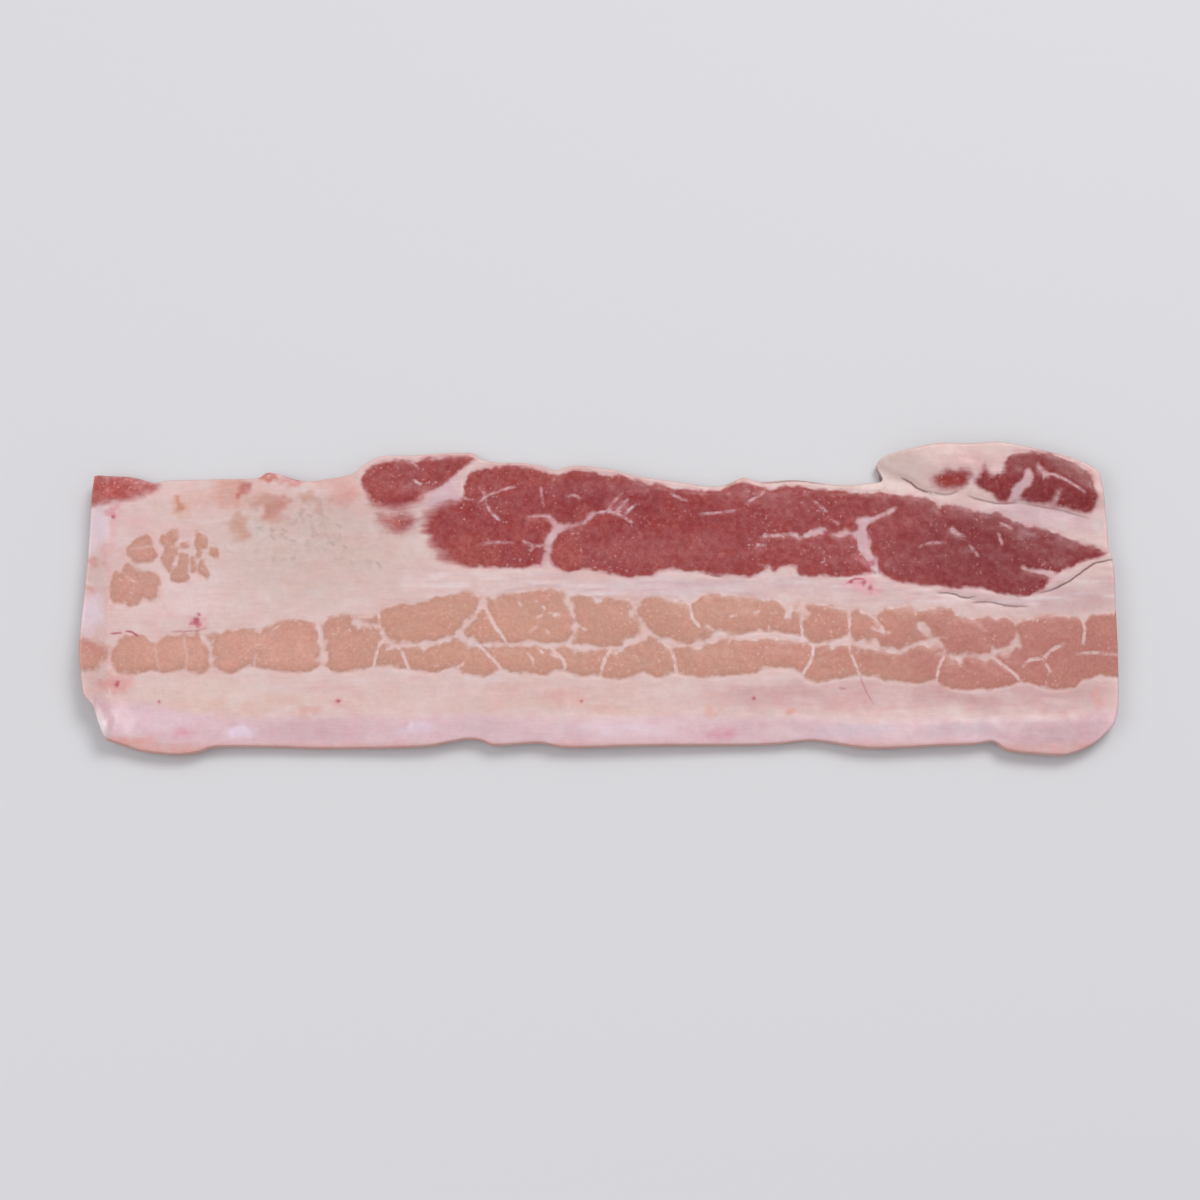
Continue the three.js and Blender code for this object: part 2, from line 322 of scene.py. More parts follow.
ISLANDS = [
    [(-72.9, 8), (-71.5, 9), (-70.3, 9.7), (-69.4, 9.6), (-69.1, 8.4), (-68.4, 7.4), (-68.3, 6.5),
     (-69.2, 5.6), (-70.3, 5.4), (-71.6, 5.7), (-72.6, 6.5)],
    [(-68.5, 9), (-67.7, 9.9), (-66.5, 10.2), (-66.2, 10.7), (-65, 10.5), (-64.8, 9.5), (-65.4, 8.5),
     (-65, 7.2), (-65.4, 6), (-65.8, 5), (-66.3, 4), (-67.2, 4.7), (-67.6, 5.9), (-67.4, 7.2), (-67.5, 8.2)],
    [(-65, 7.1), (-64.2, 7.3), (-63.4, 6.5), (-63.2, 4.7), (-63.2, 2.7), (-64.6, 2.5), (-66, 2.9),
     (-65.8, 4.2), (-65.1, 5.3)],
    [(-64.9, 8.9), (-63.9, 9), (-63.6, 8), (-64.6, 7.7)],
    [(-62.4, 10.5), (-61.7, 10.3), (-60.8, 9.1), (-60.6, 8), (-61.4, 7.9), (-61.4, 6.5), (-62.2, 6.2),
     (-62.5, 8)],
    [(-63.1, 6.5), (-62.2, 5.7), (-61.9, 4.3), (-62.6, 3.9), (-63.2, 5)],
    [(-61.9, 5.4), (-60.8, 5.8), (-60.5, 4.6), (-60.2, 3), (-61.2, 3.1), (-61.9, 4.2)],
    [(-60.2, 8), (-58.9, 7.8), (-58.8, 6.6), (-59.8, 6.4)],
    [(-75.2, 3.8), (-74.6, 4.4), (-73.8, 4), (-73.4, 4.9), (-72.5, 5.3), (-71.5, 4.4), (-70.6, 3.9),
     (-69.5, 4.2), (-68.4, 3.5), (-67.7, 2.4), (-67.7, 0.9), (-68.4, -0.2), (-69.5, -0.6), (-70.5, 0),
     (-70.9, -1.2), (-72.5, -1.4), (-73.2, -0.7), (-74.2, -0.9), (-75.2, -0.3), (-75.6, 2)],
]
# Each muscle, as (how many millimetres its border takes to pass into the fat, its outline)
MUSCLES = {
    "dark": [
        (0.30, DARK_BAND), (0.36, FIRST_LOBE), (0.60, LOBE_CRUMB), (0.70, CORNER_WEDGE), (0.70, LOOSE_NEAR),
        (0.40, LOOSE_MAIN),
    ],
    "pale": [(0.30, PALE_BAND), (0.60, ROUND_THE_CURL)] + [(0.30, island) for island in ISLANDS],
}

# Seams of fat, as (width where it starts, width where it ends, the line it follows)
DARK_SEAMS = [
    (1.6, 0.9, [(-7.3, 3.4), (-7.5, 6.2), (-7.6, 8.4), (-6.9, 10), (-5.9, 11)]),
    (0.6, 0.3, [(-5.9, 11), (-7.4, 12.7), (-10.2, 12.9)]),
    (0.6, 0.4, [(-5.9, 11), (-2.6, 11.5), (-1, 12.6)]),
    (0.9, 0.7, [(-1.2, 12.6), (-0.2, 13.2)]),
    (0.2, 0.7, [(26.1, 9.6), (27.8, 9.9), (30.8, 9.9), (31.8, 9.3), (33.4, 10), (35.3, 10.7)]),
    (0.5, 0.8, [(37, 10.1), (40.7, 10.3)]),
    (0.9, 0.3, [(41.3, 11.9), (42.8, 12.3), (44.5, 12.9), (46.8, 14.1)]),
    (1.8, 0.8, [(41.2, 11.8), (41.4, 9.4), (42, 7.2), (42.8, 5.8), (43.9, 3)]),
    (0.6, 0.3, [(55.4, 10.7), (57.5, 9.6)]),
    (0.3, 0.9, [(66.6, 4.6), (68.4, 4.1), (71.2, 3.9)]),
    (1.5, 0.9, [(67.2, 19.2), (67, 18.2), (65.8, 16.8), (64.7, 15.2)]),
    (0.9, 0.3, [(68.8, 20.9), (69.4, 19.9), (70.2, 19.4)]),
    (0.9, 0.4, [(72, 16.4), (71.6, 15.2), (70, 14.4)]),
]
PALE_SEAMS = [
    (0.4, 0.3, [(-61.2, -5.5), (-59.7, -8.2), (-59.3, -12.1)]),
    (0.4, 0.3, [(-43.2, -3.6), (-42.5, -7.4), (-42.3, -11.9)]),
    (0.4, 0.4, [(-37.8, -4.1), (-33.8, -4.6), (-32.6, -6.5), (-31.2, -7.4)]),
    (0.4, 0.4, [(-31.2, -7.4), (-27.2, -7.5), (-23.8, -6.8), (-21.2, -5.7)]),
    (0.3, 0.7, [(-21.2, -5.7), (-19.2, -3.2), (-17.6, -0.9), (-17.1, 1)]),
    (0.8, 0.7, [(-21.2, -5.7), (-19.4, -7.2), (-16, -7.4), (-10, -7.2), (-7.7, -7.7), (-4.2, -7.1)]),
    (0.5, 0.3, [(-5, 1.4), (-4.2, -1.2), (-3.1, -4.2), (-3.7, -6.8)]),
    (0.7, 0.9, [(-4.2, -7.3), (-1.9, -7.9), (1.5, -7.8), (3.7, -8.1), (5.4, -6.9), (7.4, -6.2)]),
    (0.5, 0.4, [(5.6, 0), (6.3, -3), (7.6, -4.8), (8.9, -6), (10.9, -7)]),
    (0.9, 1, [(10.6, -7), (14, -7.5), (16.9, -7.1), (19.2, -5.9), (21.5, -6.1), (24.4, -6.2)]),
    (0.9, 0.8, [(24.4, -6.2), (27.8, -5.7), (29.5, -6.2), (32.1, -6.7), (34.1, -7.4), (38.7, -6.9)]),
    (0.6, 0.1, [(31.9, -0.3), (31.8, -3.2)]),
    (0.5, 0.1, [(29.8, -0.3), (30.1, -2.3)]),
    (0.4, 0.5, [(38.7, -6.9), (43.3, -7.9), (46.8, -8.3), (49.1, -7.4), (51.9, -6.8), (53.4, -7.4)]),
    (0.5, 0.5, [(50.2, -4.1), (51.3, -5.6), (52.7, -6.9), (53.6, -8), (54.2, -9), (57.1, -9.3)]),
    (0.6, 0.3, [(57.1, -9.3), (60.5, -9.3), (61.7, -8.5), (64.4, -7.7), (65.3, -5.2), (64.9, -3)]),
]
BLEND = 0.6  # how far a corner between two seams is filled with fat
SEAM_SWELLING = {"share": 0.6, "length": 1.6}  # a seam is wider and narrower by turns
TEETH = {"seed": 7, "number": 150, "width": 0.45, "shortest": 0.6, "longest": 1.4}

# Hairline seams and threads of fat in the muscles, and one painted highlight, as (strength, the line it
# follows)
THREADS_AND_HIGHLIGHT = [
    (1.6, [(-31.2, -7.2), (-30.1, -8.5), (-28.6, -12)]),
    (1.6, [(-32.7, -6.2), (-33.8, -8.2), (-34.5, -11.4)]),
    (1.6, [(-33.8, -2), (-33.5, -4.9)]),
    (2, [(-17.6, -0.6), (-15.9, -4), (-13.7, -7.3)]),
    (2, [(-18.5, -7.2), (-16.6, -9), (-13.9, -12.2)]),
    (1.6, [(-20.3, -10), (-22.4, -12)]),
    (1.6, [(-7.2, -7.5), (-5.7, -9.2), (-4.8, -10.4), (-5.1, -12.4)]),
    (1.8, [(2.6, -7.6), (1.3, -9.8), (0.5, -13)]),
    (1.8, [(10.8, -6.8), (11.8, -8.8), (12.6, -12.4)]),
    (1.6, [(14, 0), (14.6, -1.6), (14.9, -3.2), (16.2, -4.8)]),
    (1.2, [(31.8, -2.8), (31.8, -4.6), (32.1, -6.8)]),
    (1.6, [(39.3, -1), (39.2, -4), (39.2, -7)]),
    (1, [(39.2, -6.8), (39.3, -8.5), (40.2, -10.9), (41, -13)]),
    (1.6, [(33.6, -7.2), (33.3, -9.7), (31.6, -12.4)]),
    (1.2, [(41.4, -1.7), (42.8, -3), (44.2, -4.7), (44.8, -6.2)]),
    (1.4, [(53.9, -8.9), (52.8, -11.4), (52.5, -14)]),
    (1.8, [(60.9, -9), (62.8, -10.6), (64.6, -12), (66.2, -14)]),
    (1.4, [(65.7, -11), (67.1, -9.8), (69, -9.5), (70.6, -8.2), (72.6, -7.2)]),
    (1.2, [(69, -9.4), (70.2, -11.8)]),
    (1.4, [(75.2, -3.3), (75.6, -5.2), (75.2, -7.6)]),
    (1, [(74.1, -8.8), (77, -8.8), (81, -9.2)]),
    (0.6, [(-52.6, -8.6), (-53, -11.6)]),
    (0.9, [(-18.5, 15), (-16.6, 16.3), (-13.6, 17.4), (-12.4, 17.6)]),
    (1, [(-17.4, 15.2), (-16.2, 13.2), (-14.8, 12.1)]),
    (0.5, [(-18.4, 17.6), (-17.2, 16.2)]),
    (0.6, [(-8.7, 17.6), (-8.2, 14)]),
    (0.5, [(-19, 8.2), (-16, 8.7), (-12.6, 8.6)]),
    (0.9, [(-11.6, 9), (-9.8, 8.2), (-8, 8.3)]),
    (0.6, [(-10.4, 7.2), (-9.4, 8.4)]),
    (1, [(-4.8, 15.9), (-3.4, 16.1), (-2.4, 15.5)]),
    (0.8, [(1.4, 13.2), (2.6, 14.8), (4.2, 16.6)]),
    (0.8, [(2.8, 12.9), (3.8, 14.3), (5.1, 15.6)]),
    (1, [(3.8, 12.6), (4.9, 13.6), (6.3, 14.7)]),
    (1.2, [(-0.2, 13.3), (2, 13.5), (3.8, 13), (5.8, 11.7)]),
    (0.7, [(-23.4, 15.8), (-21.4, 16), (-19.2, 15.4)]),
    (0.6, [(-28.9, 21.6), (-27.6, 20.4)]),
    (1, [(-28.8, 18.7), (-27.2, 17.8)]),
    (0.7, [(11.4, 16.6), (13, 15.6), (14.4, 15.2)]),
    (0.9, [(15.9, 13.1), (18.4, 13.3), (21.8, 13.7)]),
    (0.8, [(23.2, 14.8), (24.8, 15.7), (26.5, 16.9)]),
    (0.9, [(24.8, 8.3), (26.5, 8.2)]),
    (0.8, [(34, 15.3), (36, 13.5)]),
    (0.6, [(36.9, 12.3), (37.9, 11.4)]),
    (0.6, [(50, 7.8), (51.6, 8.5), (54.6, 8.6)]),
    (0.6, [(58, 8.4), (59.6, 6.3)]),
    (0.8, [(62.8, 11.8), (65, 10.8)]),
    (0.8, [(62.6, 10.2), (63.2, 8.2)]),
    (0.5, [(65.6, 10.6), (68.6, 9.9)]),
    (0.6, [(69.9, 19.6), (69.7, 18.3)]),
    (1, [(69.6, 19.7), (71.8, 19), (74.2, 17.7), (76.2, 16.2)]),
    # Not fat but a painted highlight: the light streak along the top of the loose lobe.
    (1, [(71.2, 22.8), (73, 21.9), (74.6, 21.4)]),
    (0.5, [(-68.4, -6.2), (-68, -9), (-67.5, -11.9)]),
    (0.5, [(-63.9, -5.7), (-63.3, -9), (-63.6, -11.9)]),
    (0.6, [(-48.6, -3.9), (-50.2, -5.4)]),
    (0.5, [(-73, 7.6), (-71, 7.8), (-68.8, 8.2)]),
    (0.6, [(-73.4, 4), (-72.3, 2.9), (-71.4, 2.3)]),
    (1, [(-8.4, -1.2), (-7.9, -2)]),
    (1, [(-9.3, -3.1), (-8.3, -2.8)]),
    (1, [(-6.8, -2.9), (-5.2, -2.3)]),
    (1, [(-10.5, -5.5), (-9, -4.5)]),
    (0.9, [(-7.9, -5), (-7.2, -5.8)]),
    (0.9, [(-12.2, -0.4), (-11.5, -1.5)]),
    (0.8, [(-3.2, -4.3), (-1.4, -5.2)]),
    (1, [(-10.8, -8.7), (-9.9, -9.6), (-9.7, -10.8)]),
    (0.9, [(-8.8, -8.2), (-8, -8.9)]),
    (0.9, [(-7.2, -8.7), (-6, -9.4)]),
    (0.9, [(17, -4.4), (18.3, -5.2)]),
    (1, [(20.6, -3.1), (21.8, -2.7)]),
    (0.9, [(24.4, -2.5), (25.4, -2.1)]),
    (0.8, [(42.4, -4.6), (44, -5.4), (45.8, -5.6)]),
]
THREAD_REACH = 0.55
# The dark band's left end, where its fibres run out into the fat one by one
FRAYED_X, FRAYED_Y = (-46.0, -38.0, -24.0, -17.0), (2.0, 6.0, 14.0, 17.0)


def depth_inside(x, y, outline):
    """How deep each place is inside a closed outline; negative outside."""
    closed = smooth_line(outline, steps=3, closed=True)
    closed = np.concatenate([closed, closed[:1]])
    inside = np.zeros(x.shape, bool)
    for (x0, y0), (x1, y1) in zip(closed[:-1], closed[1:]):
        if y0 != y1:
            inside ^= ((y0 > y) != (y1 > y)) & (x < x0 + (y - y0) * (x1 - x0) / (y1 - y0))
    distance = np.abs(beside_line(x, y, closed)[0])
    return np.where(inside, distance, -distance)


def near_line(x, y, line, reach):
    """The numbers of the places in the box round a line."""
    (low_x, low_y), (high_x, high_y) = line.min(0) - reach, line.max(0) + reach
    return np.flatnonzero((x > low_x) & (x < high_x) & (y > low_y) & (y < high_y))


def cut_by_seam(depth, x, y, seam):
    """The muscle's depth once a seam of fat is laid through it, with the corners filled."""
    first_width, last_width, points = seam
    line = smooth_line(points, steps=4)
    near = near_line(x, y, line, 3.0)
    distance, share = beside_line(x[near], y[near], line)
    swelling = 1 + SEAM_SWELLING["share"] * unevenness(x[near], y[near], SEAM_SWELLING["length"], 8)
    outside = np.abs(distance) - swelling * (first_width + (last_width - first_width) * share) / 2
    overlap = np.clip(0.5 + (outside - depth[near]) / (2 * BLEND), 0, 1)
    depth[near] = outside + (depth[near] - outside) * overlap - BLEND * overlap * (1 - overlap)


def teeth(random):
    """Short spikes of fat that leave the pale band's seams and reach in between its fibres."""
    spikes = []
    for _ in range(TEETH["number"]):
        _, _, points = PALE_SEAMS[random.integers(len(PALE_SEAMS))]
        line = smooth_line(points, steps=4)
        x, y = line[random.integers(len(line))]
        angle = random.uniform(0, 2 * math.pi)
        length = random.uniform(TEETH["shortest"], TEETH["longest"])
        end = (x + length * math.cos(angle), y + length * math.sin(angle))
        spikes.append((TEETH["width"], 0.0, [(x, y), end]))
    return spikes


def muscle_fields(x, y):
    """For each place: its depth inside the muscles and inside their uncut outlines, the softness of the
    border there, and how dark the nearest muscle is."""
    frayed = within(x, *FRAYED_X) * within(y, *FRAYED_Y)
    x = x + (0.05 + 0.6 * frayed) * unevenness(x / 6, y, 0.55, 3) + 0.25 * unevenness(x, y, 1.9, 4)
    y = y + 0.18 * unevenness(x, y, 1.6, 5) + 0.06 * unevenness(x, y, 0.8, 6)
    depth, softness = {}, {}
    for kind, muscles in MUSCLES.items():
        depth[kind], softness[kind] = np.full(x.shape, -99.0), np.ones(x.shape)
        for border, outline in muscles:
            inside = depth_inside(x, y, outline)
            softness[kind] = np.where(inside > depth[kind], border, softness[kind])
            depth[kind] = np.maximum(inside, depth[kind])
    uncut = np.maximum(depth["dark"], depth["pale"])
    for seam in DARK_SEAMS:
        cut_by_seam(depth["dark"], x, y, seam)
    for seam in PALE_SEAMS + teeth(np.random.default_rng(TEETH["seed"])):
        cut_by_seam(depth["pale"], x, y, seam)
    is_dark = depth["dark"] > depth["pale"]
    border = np.where(is_dark, softness["dark"], softness["pale"]) + 0.9 * frayed
    darkness = ease(depth["dark"] - depth["pale"], -0.6, 0.6)
    return np.maximum(depth["dark"], depth["pale"]), uncut, border, darkness


def fine_lines(x, y, lines):
    """For the nearest of many fine lines: the distance to its left side, and its strength, 0 away from it."""
    side, strength = np.full(x.shape, 2 * THREAD_REACH), np.zeros(x.shape)
    for amount, points in lines:
        line = smooth_line(points, steps=4)
        near = near_line(x, y, line, 2 * THREAD_REACH)
        distance, share = beside_line(x[near], y[near], line)
        closer = np.abs(distance) < np.abs(side[near])
        near, distance, share = near[closer], distance[closer], share[closer]
        side[near] = distance
        fading = np.sqrt(np.clip(6 * share * (1 - share), 0, 1)) * ease(np.abs(distance), THREAD_REACH, 0.3)
        strength[near] = amount * fading
    return side, strength


lean_depth, uncut_depth, border, darkness = muscle_fields(plan_x, plan_y)
thread_and_highlight = fine_lines(plan_x, plan_y, THREADS_AND_HIGHLIGHT)

# --- The skin and the marks in the fat ---
# The rind is a smooth, tough strip, 4 to 5 mm deep. The fat has faint layers, and here and there a tiny
# vessel cut through with a drop of blood in it, a dry scrap of gristle, or a crack between two layers.
# Along the loose lobe's edge a dark line is painted as the shade in its crease.

SKIN_LINE = [
    (-82, -16.3), (-77.4, -16.2), (-70.6, -16.6), (-66, -17.2), (-62.6, -18), (-54.6, -19), (-41.8, -18.8),
    (-30, -18.9), (-18.6, -17.8), (-12, -18.6), (5.4, -18.9), (25.4, -18.6), (45.4, -19.2), (61.4, -19),
    (71.4, -18.8), (82, -17.8),
]
# Spots as (x, y, radius)
BLOOD_SPOTS = [
    (-62, -3.6, 0.8), (-61.5, -2.8, 0.35), (-75.3, 12.7, 0.4), (-73.9, -13.7, 0.45), (-67.4, -16.3, 0.4),
    (-39.7, -16.3, 0.4), (42.6, 5.2, 0.6), (41.6, 2.4, 0.5), (39.5, 2.4, 0.35), (42.5, 1.4, 0.5),
    (24.3, -15.9, 0.4), (-2.3, -16.2, 0.25), (35.6, 10.3, 0.6),
]
VESSELS = [
    (0.9, [(-75.2, -5.7), (-73.4, -5.6)]),
    (1, [(-73, -5.3), (-72, -5.4), (-70.8, -6.2)]),
    (0.5, [(-66, -5.4), (-62.6, -5.3), (-60, -4.8)]),
    (0.9, [(38.8, 2.2), (40.2, 2.9), (41.8, 2.8)]),
    (0.45, [(40.8, -12.2), (41.4, -14.2), (42.8, -16.8)]),
    (0.9, [(40.4, 6.6), (41.8, 5), (42.6, 3.8)]),
    (0.6, [(-48.8, 19.2), (-46.2, 18.3)]),
    (0.5, [(37.4, -14.2), (38.6, -14.4)]),
]
CRACKS_AND_CREASE_SHADE = [
    # The first four run along the loose lobe's edge: their dark line is painted shade in its crease.
    (1, [(47.6, 19.1), (49.2, 18.3), (50.3, 17.3), (52.4, 16.5)]),
    (0.6, [(51.6, 16.9), (54.6, 16.3), (56.6, 16.9)]),
    (0.7, [(57.8, 16.2), (59.4, 15.6), (62.6, 14.9), (66, 15)]),
    (0.5, [(66, 15), (69.2, 14.4), (73, 13.7), (77, 12.4)]),
    (1, [(68.4, 0.6), (70.9, 1.3), (73.7, 2.7), (76, 4.4), (77.8, 5.4), (81.5, 6)]),
    (0.9, [(52.8, 0.8), (55.4, 0.6), (57.1, 0), (59, 0.2)]),
    (0.8, [(58.2, -0.8), (61.1, -0.7), (64, -1.3), (67, -1.4)]),
    (0.6, [(25.4, 18.2), (28.4, 18.4), (31.8, 18.6), (36, 18)]),
    (0.6, [(17.6, 3.5), (19.6, 3.3)]),
]
GRISTLE = (-46.0, 10.0, 12.0, 5.5)  # the middle and the half size of the stretch with dry scraps in it
SCRAPS = {"seed": 11, "number": 42, "spread": 0.5, "slant": -38.0, "shortest": 0.7, "longest": 1.8}
LOBE_LAYERS = (66.0, 12.6, 15.0, 3.4)  # and of the fat with layers beside the loose lobe


def soft_patch(x, y, middle_x, middle_y, half_length, half_height):
    """1 in the middle of an oval, easing to 0 a little outside it."""
    return ease(np.hypot((x - middle_x) / half_length, (y - middle_y) / half_height), 1.35, 0.4)


def ragged(x, y, amount):
    """The places shifted unevenly, for patches whose edges wander."""
    far, near = 6.0 * amount, 1.1 * amount + 0.4
    shift_x = 1.4 * amount * unevenness(x, y, far, 21) + 0.4 * unevenness(x, y, near, 22)
    shift_y = 1.0 * amount * unevenness(x, y, far, 23) + 0.35 * unevenness(x, y, near, 24)
    return x + shift_x, y + shift_y


def skin_depth(x, y):
    line = smooth_line(SKIN_LINE)
    top = np.interp(x, line[:, 0], line[:, 1])
    return top - y + 0.5 * unevenness(x / 2, y, 2.6, 31) + 0.2 * unevenness(x, y, 0.9, 32)


def scraps(random):
    """Short dry strokes that mostly slant down to the right."""
    middle_x, middle_y, half_length, half_height = GRISTLE
    strokes = []
    for _ in range(SCRAPS["number"]):
        x = middle_x + half_length * random.normal(0, SCRAPS["spread"])
        y = middle_y + half_height * random.normal(0, SCRAPS["spread"])
        slant = math.radians(random.normal(SCRAPS["slant"], 25))
        reach = random.uniform(SCRAPS["shortest"], SCRAPS["longest"]) / 2
        step_x, step_y = reach * math.cos(slant), reach * math.sin(slant)
        bend = (x, y + random.normal(0, 0.15))
        strokes.append((random.uniform(0.3, 1.0), [(x - step_x, y - step_y), bend, (x + step_x, y + step_y)]))
    return strokes


def blood_amount(x, y):
    uneven = 1 + 0.6 * unevenness(x, y, 0.6, 41)
    amount = np.zeros(x.shape)
    for spot_x, spot_y, radius in BLOOD_SPOTS:
        reach = np.hypot(x - spot_x, y - spot_y) * uneven / radius
        amount = np.maximum(amount, ease(reach, 1.5, 0))
    return amount


skin = skin_depth(plan_x, plan_y)
blood = blood_amount(plan_x, plan_y)
vessel = fine_lines(plan_x, plan_y, VESSELS)
crack_and_crease_shade = fine_lines(plan_x, plan_y, CRACKS_AND_CREASE_SHADE)
scrap = fine_lines(plan_x, plan_y, scraps(np.random.default_rng(SCRAPS["seed"])))
gristle = soft_patch(*ragged(plan_x, plan_y, 1.0), *GRISTLE) * ease(lean_depth, -0.5, -1.5)

# --- The surface relief ---
# The knife leaves a smooth face, but the chilled bundles have risen a little out of their fat, the seams have
# sunk, the fat shows its layers as faint ridges, and the skin stands proud along its upper line.

BUNDLE_RIM, BUNDLE_MIDDLE, SEAM_SINK, THREAD_SINK, CRACK_DEPTH = 0.10, 0.07, 0.08, 0.05, 0.22
GRAIN_RISE, FAT_LAYERS_RISE, LOBE_LAYERS_RISE, LUMPS, SMALL_LUMPS = 0.03, 0.02, 0.07, 0.08, 0.04
RIND_RISE, CORNER_FOLD_RISE = 0.06, 0.40
LAYER_STRETCH = 12  # layers in the fat are this much longer than they are wide
# A crease across the skin's corner
CORNER_FOLD = [(-77.0, -17.0), (-75.6, -18.2), (-74.8, -19.4), (-75.3, -20.8), (-76.0, -22.2)]


def beside_fold(x, y):
    return np.abs(beside_line(x, y, smooth_line(CORNER_FOLD))[0])


def relief(x, y):
    bundles = BUNDLE_RIM * ease(lean_depth, -border, 0.9) + BUNDLE_MIDDLE * ease(lean_depth, 0.5, 3.0)
    seams = SEAM_SINK * ease(np.abs(lean_depth + 0.15), 0.4, 0)
    threads = THREAD_SINK * thread_and_highlight[1] * ease(np.abs(thread_and_highlight[0]), 0.5, 0)
    cracks = CRACK_DEPTH * crack_and_crease_shade[1] * ease(np.abs(crack_and_crease_shade[0]), THREAD_REACH, 0.1)
    grain = GRAIN_RISE * unevenness(x, y, 0.7, 61) * ease(lean_depth, -0.1, 0.4)
    in_fat = ease(lean_depth, 0.1, -0.6) * ease(skin, 0.5, -0.5)
    layers = FAT_LAYERS_RISE * unevenness(x / LAYER_STRETCH, y, 0.7, 62) * in_fat
    beside_lobe = soft_patch(x, y, *LOBE_LAYERS) * ease(lean_depth, 0.1, -0.4)
    layers += LOBE_LAYERS_RISE * unevenness(x / LAYER_STRETCH, y + 0.24 * x, 0.8, 65) * beside_lobe
    lumps = LUMPS * unevenness(x, y, 3.7, 63) + SMALL_LUMPS * unevenness(x, y, 1.6, 64)
    skin_side = RIND_RISE * ease(skin, -0.8, 1.2) + CORNER_FOLD_RISE * ease(beside_fold(x, y), 0.7, 0.1)
    return bundles + grain + layers + lumps + skin_side - seams - threads - cracks


drop = np.array(WALL_DROP)[level]
height = underside_height(plan_x, plan_y)
height += (1 - drop) * thickness_at(plan_x, plan_y) + (1 - drop) ** 2 * relief(plan_x, plan_y)
middle_x, middle_y = (plan_x.max() + plan_x.min()) / 2, (plan_y.max() + plan_y.min()) / 2
places = np.stack([plan_x - middle_x, plan_y - middle_y, height], 1) * MM
slab.data.vertices.foreach_set("co", places.astype(np.float32).ravel())
for polygon in slab.data.polygons:
    polygon.use_smooth = True
slab.data.update()

# --- The colours of the fat and the muscles ---
# They change slowly along the slice: the fat from cream to pink, with tan shreds of muscle left in it, the
# rind to a bluish white, the dark muscle between brick and wine red. Each is laid on as soft ragged patches.
# Some are painted light and shade: sheen on the rind's lilac-white streaks, light on the curled end and the
# corner fold, shade in the fold's crease, on the side walls and, over some real deepening, at the right end.

FAT = "#DCBFBB"
FAT_PATCHES = [  # colour, middle x and y, half length and height, how strongly
    ("#D3BAB3", -44, 7, 19, 8.5, 0.9),
    ("#E2C7C6", -66, 0.6, 9, 5, 0.8),
    ("#E0BEBC", -66, 11.6, 2.6, 1.6, 0.7),
    ("#DDB9B9", -73, 11, 4, 5, 0.7),
    ("#DDB9B2", -70, 16, 5, 2, 0.5),
    ("#DBB3AC", -56, 15.5, 9, 3, 0.7),
    ("#DAADA7", -38.6, 17.5, 4.4, 2.5, 0.8),
    ("#DEC2BA", -62, -14.5, 12, 2.2, 0.8),
    ("#DBB9AE", -54, -16.8, 22, 1.4, 0.7),
    ("#D9B8B2", -10, -15, 28, 2.6, 0.7),
    ("#D8B3A9", -4, -17, 20, 0.9, 0.6),
    # The next three patches are deeper towards the right end: the fat there is pinker, and painted shade
    # darkens it further.
    ("#CFA5A4", 34, -15.2, 20, 2.8, 0.9),
    ("#C89C9C", 64, -15.4, 18, 3, 0.9),
    ("#CBA8A9", 70, 0, 16, 3, 0.8),
    ("#D8BFC2", 10, 1.8, 26, 1.6, 0.8),
    ("#D6B6B6", 50, 0.6, 22, 2.2, 0.6),
    ("#CFADB4", -24, 15, 4, 4.5, 0.9),
    ("#CFAEB4", 66, 12.4, 15, 2.8, 0.8),
    ("#DCC5BF", 47, 20.6, 5, 3.2, 0.9),
    ("#D2A8A6", 58.6, 21.4, 5, 1.4, 0.8),
    ("#DFC9C3", 43.5, 17.6, 6, 1.3, 0.9),
    # The next two patches paint the curled left strip lilac-white: pale fat, lightened further with painted
    # light and sheen on its upturned face.
    ("#E4D0D7", -78.4, 10.4, 1.8, 4.6, 1),
    ("#E5D2DA", -78.6, -2.4, 1.8, 4.6, 1),
    ("#E3CDC9", -78.8, -14.6, 2, 2.4, 0.9),
    ("#DDB0B0", -75.7, 4, 0.7, 12, 0.7),
]
RIND = "#D9B7BD"
RIND_PATCHES = [
    ("#DFC0C9", -67, -19.2, 9, 1.8, 0.8),
    # The lilac-white streaks at x -54.6, -28 and 4 are lilac rind with painted sheen on it.
    ("#E6D2E0", -54.6, -21.2, 3.2, 1.1, 0.9),
    ("#D2ADB3", -44, -20.6, 8, 2.2, 0.7),
    ("#DAC3D0", -28, -20.6, 3.6, 1, 0.8),
    ("#D3B4B9", -12, -21.4, 13, 1.4, 0.7),
    ("#DA9DA9", -63.4, -21, 1.8, 0.9, 0.7),
    ("#D9A29C", -72, -22.4, 5, 1, 0.9),
    ("#DCA7A2", -64, -23.9, 7, 0.8, 0.8),
    ("#CFB1B7", -18, -20.2, 6, 1.4, 0.8),
    ("#E4D2D4", -29, -20.2, 0.5, 1.2, 0.6),
    ("#DCC2CB", 4, -20.6, 9, 1.3, 0.8),
    ("#D59DAA", 19.2, -21.4, 3, 1, 0.8),
    ("#DFC6C8", 28.6, -21.3, 3.4, 1, 0.6),
    ("#D1BAC3", 40, -20.8, 8, 1.2, 0.8),
    # The next two patches are deeper towards the right end: painted shade on the rind.
    ("#C9AEB6", 57, -20.6, 7, 1.5, 0.8),
    ("#C5A0A6", 70, -21.2, 8, 2.4, 0.9),
    # The corner fold's facet, painted whiter: painted light on the folded facet.
    ("#EBDADD", -75.8, -19.8, 0.8, 2.2, 1),
]
